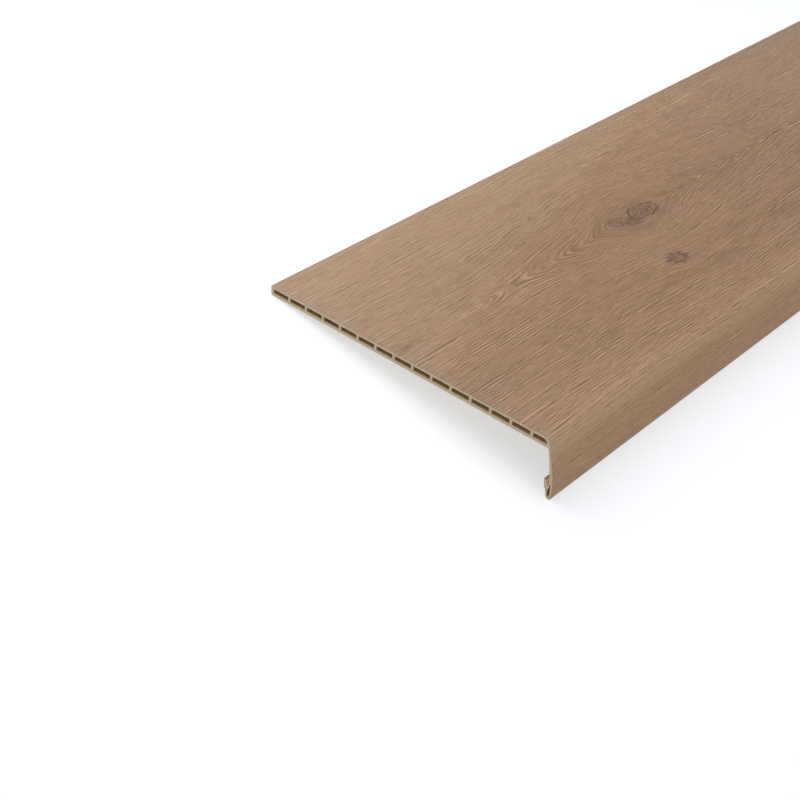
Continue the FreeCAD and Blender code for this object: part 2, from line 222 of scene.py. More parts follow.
def tangent_foot(centre, radius, outside):
    """Where the line from an outside point touches a circle, on the right of the way to the centre."""
    way = outside - centre
    turn = math.atan2(way.y, way.x) - math.acos(radius / way.length)
    return centre + Vector((math.cos(turn), math.sin(turn))) * radius


def nose_frame(tread):
    """The nose wall's normal and foot, and the centres that the nose is drawn around: belly, bend and toe."""
    depth, nose = tread.board.tread_depth, tread.nose
    out = facing(nose.lean)
    belly = Vector((nose.belly_radius - depth, -nose.belly_drop))
    wall_foot = belly + out * nose.belly_radius
    bend_y = wall_foot.x - (nose.bend_radius - (nose.bend_radius + wall_foot.y) * out.y) / out.x
    toe_z = tread.toe.radius - nose.height
    reach = nose.belly_radius - tread.toe.radius
    toe = Vector((belly.x - math.sqrt(reach ** 2 - (toe_z - belly.y) ** 2), toe_z))
    return out, belly, wall_foot, Vector((bend_y, -nose.bend_radius)), toe


def decor_path(tread):
    """The line that the decor covers: from the back edge over the walking face and the nose to the lip's top."""
    board, nose, sizes = tread.board, tread.nose, tread.toe
    out, belly, wall_foot, bend, toe = nose_frame(tread)
    corner, depth = board.back_corner, board.tread_depth
    toe_start = belly + (toe - belly).normalized() * nose.belly_radius
    toe_back = Vector((sizes.back_setback - depth, -sizes.back_drop))
    toe_end = tangent_foot(toe, sizes.radius, toe_back)
    knee = (sizes.knee_setback - depth, -sizes.knee_drop)
    lip = Vector((sizes.lip_setback - depth, -sizes.lip_drop))
    line = Outline((0, -corner))
    line.around((-corner, -corner), (-corner, 0))
    line.to((bend.x, 0))
    line.around(bend, bend + out * nose.bend_radius)
    line.to(wall_foot)
    line.around(belly, toe_start)
    line.around(toe, toe_end)
    line.to(toe_back, knee, lip, lip - Vector((sizes.lip_thickness, 0)))
    return line


def inset(points, distance):
    """The same line, moved to its left by an even distance."""
    normals = [Vector((a.y - b.y, b.x - a.x)).normalized() for a, b in zip(points, points[1:])]
    moved = []
    for point, before, after in zip(points, normals[:1] + normals, normals + normals[-1:]):
        mean = (before + after).normalized()
        moved.append(point + mean * (distance / mean.dot(before)))
    return moved


def bare_path(tread):
    """The rest of the outline, bare of decor: slot, back of the nose wall, underside and back edge."""
    board, nose, toe = tread.board, tread.nose, tread.toe
    out, _, wall_foot, _, _ = nose_frame(tread)
    depth, corner, thickness = board.tread_depth, board.back_corner, board.board_thickness
    lip_inner = Vector((toe.lip_setback - depth - toe.lip_thickness, -toe.lip_drop))
    slot_y = toe.slot_face_setback - depth
    slot_centre = Vector((slot_y + toe.slot_floor_radius, toe.slot_floor_radius - toe.slot_floor_drop))
    slot_foot = tangent_foot(slot_centre, toe.slot_floor_radius, lip_inner)
    lean = nose.wall_back_lean
    back_out = facing(lean)
    fillet = nose.underside_fillet
    foot_z = -thickness - fillet + fillet * back_out.y
    foot_y = wall_foot.x - (nose.wall_top_thickness + (foot_z - wall_foot.y) * out.y) / out.x
    fillet_foot = Vector((foot_y, foot_z))
    fillet_centre = fillet_foot - back_out * fillet
    half_blend = nose.wall_blend_radius * math.tan(lean / 2)
    crook_z = foot_z - (foot_y - slot_y) / math.tan(lean)
    blend_low = Vector((slot_y, crook_z - half_blend))
    blend_high = Vector((slot_y + half_blend * math.sin(lean), crook_z + half_blend * math.cos(lean)))
    line = Outline(slot_foot)
    line.around(slot_centre, (slot_y, slot_centre.y), clockwise=True)
    line.to(blend_low)
    line.around((slot_y + nose.wall_blend_radius, blend_low.y), blend_high, clockwise=True)
    line.to(fillet_foot)
    line.around(fillet_centre, (fillet_centre.x, -thickness), clockwise=True)
    line.to((-corner, -thickness))
    line.around((-corner, corner - thickness), (0, corner - thickness))
    line.to((0, -corner))
    return line


def front_chamber_loop(tread):
    """The chamber at the nose, with its outer corner rounded as the bend is."""
    board, nose = tread.board, tread.nose
    out, _, wall_foot, _, _ = nose_frame(tread)
    corner, big = board.chamber_corner, nose.front_chamber_corner
    back = -board.back_wall - board.chamber_count * (board.chamber_width + board.web_thickness)
    inner = back - corner
    high, low = -board.top_skin, board.bottom_skin - board.board_thickness
    wall = wall_foot - out * nose.front_chamber_wall

    def beside_wall(radius, z):
        return Vector((wall.x - (radius + (z - wall.y) * out.y) / out.x, z))

    big_centre, small_centre = beside_wall(big, high - big), beside_wall(corner, low + corner)
    line = Outline((inner, high), (big_centre.x, high))
    line.around(big_centre, big_centre + out * big)
    line.to(small_centre + out * corner)
    line.around(small_centre, (small_centre.x, low))
    line.to((inner, low))
    line.around((inner, low + corner), (back, low + corner))
    line.to((back, high - corner))
    line.around((inner, high - corner), line[0])
    return line[:-1]


def toe_chamber_loop(tread):
    """The closed chamber in the toe: a narrow neck, a shoulder and a wider, rounded foot."""
    depth, nose, toe = tread.board.tread_depth, tread.nose, tread.toe
    belly = nose_frame(tread)[1]
    radius = nose.belly_radius - toe.outer_skin

    def front_at(z, inside=0):
        return belly.x - math.sqrt((radius - inside) ** 2 - (z - belly.y) ** 2)

    neck_y = toe.slot_face_setback - toe.slot_skin - depth
    foot_z = toe.floor + toe.chamber_radius - nose.height
    foot = Vector((front_at(foot_z, toe.chamber_radius), foot_z))
    back_y = foot.x + toe.chamber_radius
    line = Outline((front_at(-toe.neck_top_drop), -toe.neck_top_drop))
    line.around(belly, belly + (foot - belly).normalized() * radius)
    line.around(foot, (back_y, foot_z))
    line.to((back_y, -toe.shoulder_drop), (neck_y, -toe.neck_foot_drop), (neck_y, -toe.neck_top_drop))
    return line


def resting_place(tread):
    """Lays the level tread down on its back lower corner and its toe, and centres it."""
    board, toe_radius = tread.board, tread.toe.radius
    toe = nose_frame(tread)[4]
    back = Vector((-board.back_corner, board.back_corner - board.board_thickness))
    slope = math.atan2(back.y - toe.y, back.x - toe.x)
    tilt = slope + math.asin((toe_radius - board.back_corner) / (back - toe).length)
    turn = Matrix.Rotation(-tilt, 4, "X")
    low_back = turn @ Vector((0, *back))
    front = (turn @ Vector((0, *toe))).y - toe_radius
    rear = (turn @ Vector((0, -board.back_corner, -board.back_corner))).y + board.back_corner
    place = Vector((-board.tread_length / 2, -(front + rear) / 2, board.back_corner - low_back.z))
    return Matrix.Translation(place) @ turn


# Node trees


class Tree:
    """Adds nodes to a tree and joins them up."""

    def __init__(self, tree):
        self.tree = tree

    def add(self, kind, inputs=(), **settings):
        """A node with its settings, and its inputs given by name or place as values or as sockets."""
        node = self.tree.nodes.new(kind)
        for name, value in settings.items():
            setattr(node, name, value)
        self.feed(node, inputs)
        return node

    def feed(self, node, inputs):
        for key, value in dict(inputs).items():
            if isinstance(value, bpy.types.NodeSocket):
                self.tree.links.new(value, node.inputs[key])
            else:
                node.inputs[key].default_value = value

    def math(self, operation, *values, clamp=False):
        return self.add("ShaderNodeMath", enumerate(values), operation=operation, use_clamp=clamp).outputs[0]

    plus = partialmethod(math, "ADD")
    minus = partialmethod(math, "SUBTRACT")
    ratio = partialmethod(math, "DIVIDE")
    scaled = partialmethod(math, "MULTIPLY_ADD")  # first times second, plus third

    def chain(self, operation, *values):
        return reduce(lambda one, other: self.math(operation, one, other), values)

    product = partialmethod(chain, "MULTIPLY")
    most = partialmethod(chain, "MAXIMUM")

    def vector(self, x=0.0, y=0.0, z=0.0):
        return self.add("ShaderNodeCombineXYZ", {"X": x, "Y": y, "Z": z}).outputs[0]

    def parts(self, vector):
        """The x, y and z of a vector."""
        return self.add("ShaderNodeSeparateXYZ", {0: vector}).outputs

    def in_millimetres(self, vector):
        return self.add("ShaderNodeVectorMath", {0: vector, "Scale": MILLIMETRES}, operation="SCALE").outputs[0]

    def attribute(self, name, output="Vector"):
        return self.add("ShaderNodeAttribute", attribute_name=name).outputs[output]

    def noise(self, vector, detail=2.0, roughness=0.5):
        """Noise of about 0 to 1 around a half."""
        inputs = {"Vector": vector, "Scale": 1.0, "Detail": detail, "Roughness": roughness}
        return self.add("ShaderNodeTexNoise", inputs).outputs["Fac"]

    def patches(self, along, across, length, width, seed, **settings):
        """Noise with patches about as long and as wide as given."""
        return self.noise(self.vector(self.ratio(along, length), self.ratio(across, width), seed), **settings)

    def relief(self, height, strength, depth):
        """Normals of a fine relief that the light catches. The depth is in metres."""
        return self.add("ShaderNodeBump", {"Strength": strength, "Distance": depth, "Height": height}).outputs[0]

    def band(self, value, low, high, bottom=0.0, top=1.0):
        """Runs smoothly from bottom to top while the value goes from low to high."""
        inputs = {"Value": value, "From Min": low, "From Max": high, "To Min": bottom, "To Max": top}
        return self.add("ShaderNodeMapRange", inputs, interpolation_type="SMOOTHSTEP").outputs["Result"]

    def ramp(self, value, *stops):
        """A colour that runs evenly from stop to stop, each given as (place, colour)."""
        node = self.add("ShaderNodeValToRGB", {"Fac": value})
        for number, (place, tint) in enumerate(stops):
            element = node.color_ramp.elements[number] if number < 2 else node.color_ramp.elements.new(place)
            element.position = place
            element.color = tint
        return node.outputs["Color"]

    def blend(self, amount, one, other, mode="MIX"):
        """The second colour laid over the first one."""
        inputs = {"Factor": amount, COLOUR_A: one, COLOUR_B: other}
        return self.add("ShaderNodeMix", inputs, data_type="RGBA", blend_type=mode).outputs[COLOUR_RESULT]

    def mix(self, amount, one, other):
        """The same for two numbers."""
        return self.add("ShaderNodeMix", {"Factor": amount, "A": one, "B": other}, data_type="FLOAT").outputs[0]

    def group(self, make, inputs):
        """The outputs of a shared group of the tree's own kind, fed by name."""
        kind = self.tree.bl_idname.replace("Tree", "Group")
        return self.add(kind, inputs, node_tree=shared(make)).outputs

    def geometry(self, kind, inputs=(), **settings):
        """The first output of a geometry node."""
        return self.add("GeometryNode" + kind, inputs, **settings).outputs[0]

    def join(self, *geometries):
        node = self.add("GeometryNodeJoinGeometry")
        for geometry in geometries:
            self.feed(node, {0: geometry})
        return node.outputs[0]

    def stored(self, name):
        return self.geometry("InputNamedAttribute", {"Name": name}, data_type="FLOAT")

    def store(self, geometry, name, value, kind="FLOAT"):
        inputs = {"Geometry": geometry, "Name": name, "Value": value}
        return self.geometry("StoreNamedAttribute", inputs, data_type=kind, domain="POINT")


def shader_group(name, inputs, outputs):
    """A shader group with number sockets, and the tree to fill it: (group, tree, input sockets, output node)."""
    group = bpy.data.node_groups.new(name, "ShaderNodeTree")
    for label, default in inputs.items():
        group.interface.new_socket(label, in_out="INPUT", socket_type="NodeSocketFloat").default_value = default
    for label in outputs:
        group.interface.new_socket(label, in_out="OUTPUT", socket_type="NodeSocketFloat")
    tree = Tree(group)
    return group, tree, tree.add("NodeGroupInput").outputs, tree.add("NodeGroupOutput")


def grain_flow_group():
    """How far a knot pushes the grain aside: a smooth bulge along, falling off across. In millimetres."""
    group, tree, given, wanted = shader_group(
        "Grain flow",
        {"Along": 0.0, "Across": 0.0, "Reach Before": 60.0, "Reach After": 80.0, "Reach Across": 80.0, "Push": 10.0},
        ("Shift",))
    before = tree.ratio(given["Along"], tree.product(given["Reach Before"], -1.0))
    after = tree.ratio(given["Along"], given["Reach After"])
    bulge = tree.band(tree.most(before, after), 1.0, 0.1)
    side = tree.math("ABSOLUTE", tree.ratio(given["Across"], given["Reach Across"]))
    fall = tree.math("EXPONENT", tree.product(side, -1.0))
    tree.feed(wanted, {"Shift": tree.product(bulge, fall, given["Push"])})
    return group


def knot_group():
    """A knot: the shade of its eye and of the stain round it, and its fine lines. Lengths are in millimetres."""
    group, tree, given, wanted = shader_group(
        "Knot",
        {"Along": 0.0, "Across": 0.0, "Half Length": 18.0, "Half Width": 10.0, "Seed": 0.0, "Hollow": 0.0,
         "Rings": 1.0, "Spokes": 0.0, "Splits": 0.0},
        ("Eye", "Stain", "Lines"))
    along, across, seed = given["Along"], given["Across"], given["Seed"]
    wander = tree.minus(tree.patches(along, across, 10.0, 8.0, seed), 0.5)
    rough = tree.patches(along, across, 3.0, 2.2, tree.plus(seed, 40.0))
    u = tree.ratio(along, given["Half Length"])
    v = tree.ratio(across, given["Half Width"])
    far = tree.math("SQRT", tree.scaled(u, u, tree.product(v, v)))
    radius = tree.scaled(wander, 0.7, far)

    def line_at(value, place, half):
        off = tree.math("ABSOLUTE", tree.minus(value, place))
        return tree.band(off, half, half * 0.3)

    # Rings: the rim, two inner ones and a line along the middle, all broken here and there
    rim = line_at(radius, 1.0, 0.13)
    inner = tree.most(line_at(radius, 0.66, 0.09), line_at(radius, 0.36, 0.08))
    middle = line_at(tree.scaled(wander, 0.8, v), 0.05, 0.11)
    axis = tree.product(middle, tree.band(radius, 0.85, 0.7))
    rings = tree.most(rim, tree.product(tree.most(inner, axis), 0.8))
    rings = tree.product(rings, tree.band(rough, 0.34, 0.56, bottom=0.25), given["Rings"])

    # Spokes: short lines that cross the rim
    turn = tree.scaled(wander, 9.0, tree.product(tree.math("ARCTAN2", v, u), 8.0))
    ring_zone = tree.product(tree.band(radius, 0.35, 0.6), tree.band(radius, 1.45, 1.0))
    spokes = tree.product(tree.band(tree.math("SINE", turn), 0.2, 0.9), ring_zone, given["Spokes"])

    # Splits: cracks that lie across the grain
    shaken = tree.scaled(wander, 1.6, tree.ratio(along, 2.3))
    split = tree.noise(tree.vector(shaken, tree.ratio(across, 9.0), tree.plus(seed, 60.0)))
    splits = tree.product(tree.band(split, 0.5, 0.59), tree.band(radius, 1.15, 0.8), given["Splits"])

    filled = tree.minus(1.0, tree.product(tree.band(radius, 0.75, 0.4), given["Hollow"]))
    uneven = tree.band(rough, 0.25, 0.7, bottom=0.55)
    tree.feed(wanted, {
        "Eye": tree.product(tree.band(radius, 1.08, 0.92), filled, uneven),
        "Stain": tree.band(tree.scaled(wander, 1.2, far), 2.0, 0.7),
        "Lines": tree.most(rings, spokes, splits)})
    return group


def streaks_group():
    """Long streaks of even strength about a half, for fibres, die lines and saw marks."""
    group, tree, given, wanted = shader_group(
        "Streaks", {"Along": 0.0, "Across": 0.0, "Length": 30.0, "Width": 1.0, "Seed": 0.0}, ("Value",))
    sizes = [given[label] for label in ("Along", "Across", "Length", "Width", "Seed")]
    tree.feed(wanted, {"Value": tree.patches(*sizes, detail=3.0, roughness=0.6)})
    return group


def hairlines_group():
    """Thin, nearly even lines that follow the grain and fade in and out: from -1 to 1. Lengths in millimetres."""
    group, tree, given, wanted = shader_group(
        "Hairlines", {"Along": 0.0, "Across": 0.0, "Spacing": 2.7, "Run": 200.0, "Fade": 30.0, "Seed": 0.0},
        ("Value",))
    along, seed = given["Along"], given["Seed"]
    row = tree.ratio(given["Across"], given["Spacing"])
    drift = tree.noise(tree.vector(tree.ratio(along, given["Run"]), tree.product(row, 0.25), seed), detail=1.0)
    turn = tree.product(tree.scaled(drift, 3.0, row), math.tau)
    fade = tree.noise(tree.vector(tree.ratio(along, given["Fade"]), tree.product(row, 0.45), tree.plus(seed, 50.0)))
    tree.feed(wanted, {"Value": tree.product(tree.math("SINE", turn), tree.band(fade, 0.36, 0.64))})
    return group


def shared(make):
    """The node group that a maker makes, built on its first use and kept under the maker's name."""
    if make.__name__ not in bpy.data.node_groups:
        make().name = make.__name__
    return bpy.data.node_groups[make.__name__]


def new_material(name):
    """A material with its tree and its one shader."""
    material = bpy.data.materials.new(name)
    material.use_nodes = True
    tree = Tree(material.node_tree)
    return material, tree, material.node_tree.nodes["Principled BSDF"]


# The oak's pattern. Lengths are in millimetres: along from the near end, across from the back edge.

HEART = (322.0, 142.0)
HEART_WIDENS = (  # reach before, after and across the knots, and how far the grain is pushed
    (66.0, 84.0, 50.0, 20.0),
    (215.0, 260.0, 75.0, 26.0),
)
KNOT_WIDENS = (  # place, reach along and across, push, and which side gives way
    (286.0, 214.0, 26.0, 14.0, 4.0, 1.0),
    (800.0, 96.0, 60.0, 26.0, 12.0, -1.0),
)
KNOTS = (  # place and slope, and what makes each knot
    ((334.0, 143.0), {"Half Length": 18.5, "Half Width": 10.0, "Seed": 3.0}),
    ((305.0, 143.5, 0.4), {"Half Length": 16.0, "Half Width": 9.0, "Seed": 8.0, "Rings": 0.2, "Splits": 1.0}),
    ((286.0, 214.0), {"Half Length": 10.0, "Half Width": 7.5, "Seed": 5.0, "Rings": 0.7, "Spokes": 0.8,
                      "Splits": 0.7, "Hollow": 1.0}),
    ((800.0, 96.0), {"Half Length": 12.0, "Half Width": 8.0, "Seed": 12.0}),
)
FIBRES = ((240.0, 7.0, 9.0, 0.16), (9.0, 1.4, 2.0, 0.45))  # length, width, seed and strength
BLOTCHES = ((14.0, 4.0, 7.0, 0.26), (60.0, 18.0, 8.0, 0.36))  # the same
HAIRLINES = (2.75, 220.0, 15.0, 4.0)  # spacing, run, fade and seed
WIDE_HAIRLINES = (4.4, 260.0, 22.0, 19.0)
ARCS = (6.5, 900.0, 70.0, 71.0)
FINE_FIBRES = (11.0, 0.5, 6.0)  # length, width and seed
PORES = (8.0, 0.4, 11.0)
WARM_PATCHES = (50.0, 14.0, 15.0)


class Grain:
    """How the grain lies on the decor, and the patterns that follow it. Lengths are in millimetres."""

    def __init__(self, tree):
        self.tree = tree
        place = tree.parts(tree.in_millimetres(tree.attribute(GRAIN)))
        self.along, self.across = place["X"], place["Y"]
        self.heart = self.from_place(*HEART)
        self.side = tree.ratio(self.heart["Across"], 28.0)
        self.lens = self.round_the_heart()
        self.line = self.round_the_knots(self.lens)

    def from_place(self, x, y, slope=0.0):
        """How far along and across a point lies from a place, along a line that may slope."""
        far = self.tree.minus(self.along, x)
        off = self.tree.minus(self.across, y)
        return {"Along": far, "Across": self.tree.scaled(far, -slope, off)}

    def pushed(self, place, before, after, across, push):
        reach = {"Reach Before": before, "Reach After": after, "Reach Across": across, "Push": push}
        return self.tree.group(grain_flow_group, {**place, **reach})["Shift"]

    def round_the_heart(self):
        """The grain runs round the heart line in lenses, blunt at the near end."""
        tree, along, across = self.tree, self.heart["Along"], self.heart["Across"]
        blunt = tree.scaled(tree.band(along, -10.0, -60.0), tree.band(along, -230.0, -130.0, top=200.0), 5.0)
        lens = tree.math("SQRT", tree.scaled(across, across, blunt))
        for widening in HEART_WIDENS:
            lens = tree.minus(lens, self.pushed(self.heart, *widening))
        return lens

    def round_the_knots(self, line):
        """The grain gives way to each small knot, and wanders a little everywhere."""
        tree = self.tree
        for x, y, reach, reach_across, push, outward in KNOT_WIDENS:
            place = self.from_place(x, y)
            root = tree.math("SQRT", tree.scaled(place["Across"], place["Across"], 36.0))
            side = tree.product(tree.ratio(place["Across"], root), outward)
            shift = self.pushed(place, reach, reach, reach_across, push)
            line = tree.minus(line, tree.product(side, shift))
        wander = tree.patches(self.along, self.across, 150.0, 55.0, 1.0, detail=3.0)
        return tree.scaled(tree.minus(wander, 0.5), 8.0, line)

    def fibres(self, length, width, seed):
        return self.tree.group(streaks_group, {
            "Along": self.along, "Across": self.line, "Length": length, "Width": width,
            "Seed": self.tree.plus(self.side, seed)})["Value"]

    def hairlines(self, line, spacing, run, fade, seed):
        return self.tree.group(hairlines_group, {
            "Along": self.along, "Across": line, "Spacing": spacing, "Run": run, "Fade": fade,
            "Seed": self.tree.plus(self.side, seed)})["Value"]

    def blotches(self, length, width, seed):
        return self.tree.patches(self.along, self.line, length, width, seed, roughness=0.6)

    def knots(self):
        """The strongest eye, stain and line of all the knots."""
        marks = [self.tree.group(knot_group, {**self.from_place(*place), **sizes}) for place, sizes in KNOTS]
        return [self.tree.most(*(mark[label] for mark in marks)) for label in ("Eye", "Stain", "Lines")]


def oak_tone(grain, look, painted_corner_light, fine, crisp):
    """How light the wood is, from 0 to 1: slow changes over the board, partly painted shade and light, and a painted
    highlight on the bend, then fibres, patches and lines.
    """
    tree, along, across = grain.tree, grain.along, grain.across
    # A broad darker zone round the middle of the walking face, and darker towards the nose and the far end: partly the
    # oak's own tone, partly painted shade where the light falls off away from the back-left lamp
    far_along = tree.product(grain.heart["Along"], 0.4)
    far_across = tree.math("POWER", tree.minus(grain.heart["Across"], 35.0), 2.0)
    far = tree.math("SQRT", tree.scaled(far_along, far_along, far_across))
    tone = tree.scaled(tree.band(grain.lens, 8.0, -8.0), -0.12, tree.band(far, 220.0, 50.0, 0.54, 0.3))
    slow = tree.scaled(tree.band(across, 190.0, 215.0, top=-0.06), tree.band(across, 265.0, 245.0),
                       tree.band(along, 330.0, 640.0, top=-0.1))
    # Painted highlight: a lighter band over the rounded bend, where it catches the front lamp
    bend = tree.product(tree.band(across, 284.0, 294.0, top=0.37), tree.band(across, 315.0, 300.0))
    # Painted light: the back-left corner made a little lighter
    for part in (tree.product(painted_corner_light, 0.045), slow, bend):
        tone = tree.plus(tone, part)

    layers = [(grain.fibres(*sizes), strength) for *sizes, strength in FIBRES]
    layers += [(grain.blotches(*sizes), strength) for *sizes, strength in BLOTCHES]
    for layer, strength in (*layers, (fine, tree.product(crisp, 1.35))):
        tone = tree.scaled(tree.minus(layer, 0.5), strength, tone)

    arcs = tree.product(grain.hairlines(grain.lens, *ARCS), tree.band(grain.lens, 30.0, 0.0, bottom=0.2))
    for layer, strength in ((grain.hairlines(grain.line, *HAIRLINES), tree.product(crisp, 0.5)),
                            (grain.hairlines(grain.line, *WIDE_HAIRLINES), 0.12), (arcs, 0.05)):
        tone = tree.scaled(tree.product(layer, strength), look.figure, tone)
    return tone


def oak_material(look):
    """Matt oak decor: growth rings, fibres and pores that flow round the knots."""
    material, tree, shader = new_material("Oak decor")
    grain = Grain(tree)
    along, across = grain.along, grain.across
    # The fine grain stands out more towards the nose and the far end
    crisp = tree.most(tree.band(across, 150.0, 230.0, bottom=0.74, top=0.94),
                      tree.band(along, 240.0, 380.0, bottom=0.74, top=1.08))
    # Painted light and sheen: full at the back-left corner, fading out towards the nose and the far end
    painted_corner_light = tree.band(tree.scaled(across, 3.0, along), 600.0, 450.0)
    fine = grain.fibres(*FINE_FIBRES)
    pores = tree.product(tree.band(grain.fibres(*PORES), 0.57, 0.70), crisp)
    eye, stain, lines = grain.knots()

    # Warmer honey patches, the oak's own, and a warmer band over the bend that goes with its painted highlight
    honey_and_bend_highlight = tree.most(tree.band(grain.blotches(*WARM_PATCHES), 0.45, 0.75, top=0.4),
                     tree.band(across, 288.0, 304.0, top=0.3))
    base = tree.ramp(oak_tone(grain, look, painted_corner_light, fine, crisp), (0.0, look.dark), (1.0, look.light), (0.5, look.mid))
    base = tree.blend(honey_and_bend_highlight, base, look.honey)
    # Painted sheen: the back-left corner tinted slightly cooler
    base = tree.blend(painted_corner_light, base, look.painted_corner_light, "MULTIPLY")
    base = tree.blend(tree.product(pores, look.pores), base, look.dark)
    for cover in (tree.product(stain, 0.14), tree.product(eye, 0.26), lines):
        base = tree.blend(cover, base, look.knot)
    rough = tree.scaled(pores, 0.12, tree.scaled(tree.minus(fine, 0.5), 0.12, 0.58))
    height = tree.scaled(lines, -0.8, tree.scaled(pores, -1.0, tree.product(fine, 0.35)))
    tree.feed(shader, {"Base Color": base, "Roughness": rough, "Specular IOR Level": 0.24,
                       "Normal": tree.relief(height, 0.6, 0.00008)})
    return material


def faint_neck_line(tree, tread):
    """The faint dark line over the toe's neck, halfway through the nose wall."""
    level = tree.in_millimetres(tree.attribute(SECTION))
    belly = nose_frame(tread)[1] * MILLIMETRES
    far = tree.add("ShaderNodeVectorMath", {0: level, 1: (*belly, 0.0)}, operation="DISTANCE").outputs["Value"]
    depth = tree.minus(tread.nose.belly_radius * MILLIMETRES, far)
    off = tree.math("ABSOLUTE", tree.minus(depth, tread.toe.outer_skin * MILLIMETRES + 0.1))
    upper = tree.band(tree.parts(level)["Y"], -24.0, -30.0)
    return tree.product(tree.band(off, 0.45, 0.15), upper)


def compound_material(tread):
    """Beige wood-filled compound: sawn at the ends, drawn smooth along the length elsewhere."""
    look = tread.compound
    material, tree, shader = new_material("Beige compound")
    place = tree.parts(tree.in_millimetres(tree.add("ShaderNodeTexCoord").outputs["Object"]))
    x, y, z = (place[axis] for axis in "XYZ")
    normal = tree.parts(tree.add("ShaderNodeNewGeometry").outputs["Normal"])
    end = tree.band(tree.math("ABSOLUTE", normal["X"]), 0.5, 0.85)
    die = tree.group(streaks_group, {"Along": x, "Across": tree.scaled(z, 1.7, y),
                                     "Length": 180.0, "Width": 1.1, "Seed": 21.0})["Value"]
    saw = tree.group(streaks_group, {"Along": z, "Across": tree.scaled(z, 0.35, y),
                                     "Length": 14.0, "Width": 0.55, "Seed": 31.0})["Value"]
    marks = tree.mix(end, die, saw)
    flour = tree.vector(tree.ratio(x, 3.0), tree.ratio(y, 0.9), tree.ratio(z, 0.9))
    flour = tree.noise(flour, detail=3.0, roughness=0.65)
    # Bare faces take the skin colour, partly painted light; the chambers take painted shade, browner and darker; the
    # sawn ends take the cut colour
    base = tree.blend(end, tree.blend(tree.attribute(CHAMBER, "Fac"), look.skin, look.chamber), look.cut)
    base = tree.blend(tree.band(flour, 0.56, 0.74, top=0.45), base, look.fleck)
    base = tree.blend(tree.band(marks, 0.35, 0.7, top=0.22), base, look.fleck)
    # A faint dark line on the sawn face, in the chambers' colour
    base = tree.blend(tree.product(faint_neck_line(tree, tread), end, 0.4), base, look.chamber)
    rough = tree.band(marks, 0.3, 0.75, bottom=0.5, top=0.68)
    tree.feed(shader, {"Base Color": base, "Roughness": rough, "Specular IOR Level": 0.35,
                       "Normal": tree.relief(tree.scaled(flour, 0.4, marks), 0.5, 0.0001)})
    return material


# Geometry Nodes


def geometry_group(name, inputs):
    """A geometry tree with a geometry input and output, and named inputs."""
    group = bpy.data.node_groups.new(name, "GeometryNodeTree")
    group.interface.new_socket("Geometry", in_out="INPUT", socket_type="NodeSocketGeometry")
    for label, kind in inputs.items():
        group.interface.new_socket(label, in_out="INPUT", socket_type="NodeSocket" + kind)
    group.interface.new_socket("Geometry", in_out="OUTPUT", socket_type="NodeSocketGeometry")
    tree = Tree(group)
    return group, tree, tree.add("NodeGroupInput").outputs, tree.add("NodeGroupOutput")


def draw_out_group():
    """Draws a flat section, given in the horizontal plane, out along x into a closed length."""
    group, tree, given, wanted = geometry_group("Draw out", {"Length": "Float"})
    turn = (math.pi / 2, 0, math.pi / 2)
    upright = tree.geometry("Transform", {"Geometry": given["Geometry"], "Rotation": turn})
    run = {"Mesh": upright, "Offset": tree.vector(given["Length"]), "Offset Scale": 1.0, "Individual": False}
    drawn = tree.join(tree.geometry("FlipFaces", {"Mesh": upright}), tree.geometry("ExtrudeMesh", run, mode="FACES"))
    merged = tree.geometry("MergeByDistance", {"Geometry": drawn, "Distance": MERGE_DISTANCE})
    tree.feed(wanted, {"Geometry": merged})
    return group


def hollow_board_group():
    """Sets the row of like chambers into the outline, fills the section, marks its chambers and draws it out."""
    group, tree, given, wanted = geometry_group("Hollow board", {
        "Length": "Float", "Chambers": "Int", "Pitch": "Float", "Chamber Width": "Float", "Chamber Height": "Float",
        "Chamber Corner": "Float", "First Chamber": "Vector", "Material": "Material"})
    box = tree.geometry("CurvePrimitiveQuadrilateral", {
        "Width": given["Chamber Width"], "Height": given["Chamber Height"]})
    rounded = tree.geometry("FilletCurve", {
        "Curve": box, "Radius": given["Chamber Corner"], "Count": CORNER_POINTS}, mode="POLY")
    step = tree.vector(tree.product(given["Pitch"], -1.0))
    row = tree.geometry("MeshLine", {
        "Count": given["Chambers"], "Start Location": given["First Chamber"], "Offset": step}, mode="OFFSET")
    chambers = tree.geometry("RealizeInstances", {
        0: tree.geometry("InstanceOnPoints", {"Points": row, "Instance": rounded})})
    loops = tree.join(tree.store(chambers, CHAMBER, 1.0), tree.geometry("MeshToCurve", {"Mesh": given["Geometry"]}))
    section = tree.geometry("FillCurve", {0: loops}, mode="TRIANGLES")

    # Filling loses the marks, so each point takes the one of the loops' nearest point
    marked = tree.geometry("CurveToMesh", {"Curve": loops})
    nearest = tree.geometry("SampleNearest", {"Geometry": marked}, domain="POINT")
    mark = tree.geometry("SampleIndex", {"Geometry": marked, "Value": tree.stored(CHAMBER), "Index": nearest},
                         data_type="FLOAT", domain="POINT")
    section = tree.store(section, CHAMBER, mark)
    section = tree.store(section, SECTION, tree.geometry("InputPosition"), "FLOAT_VECTOR")
    drawn = tree.group(draw_out_group, {"Geometry": section, "Length": given["Length"]})
    finish(tree, drawn["Geometry"], given, wanted)
    return group


def bonded_decor_group():
    """Draws the decor's section out and keeps, at each point, how far along and how far across it lies."""
    group, tree, given, wanted = geometry_group("Bonded decor", {"Length": "Float", "Material": "Material"})
    drawn = tree.group(draw_out_group, {"Geometry": given["Geometry"], "Length": given["Length"]})
    place = tree.vector(tree.parts(tree.geometry("InputPosition"))["X"], tree.stored(ACROSS))
    finish(tree, tree.store(drawn["Geometry"], GRAIN, place, "FLOAT_VECTOR"), given, wanted)
    return group


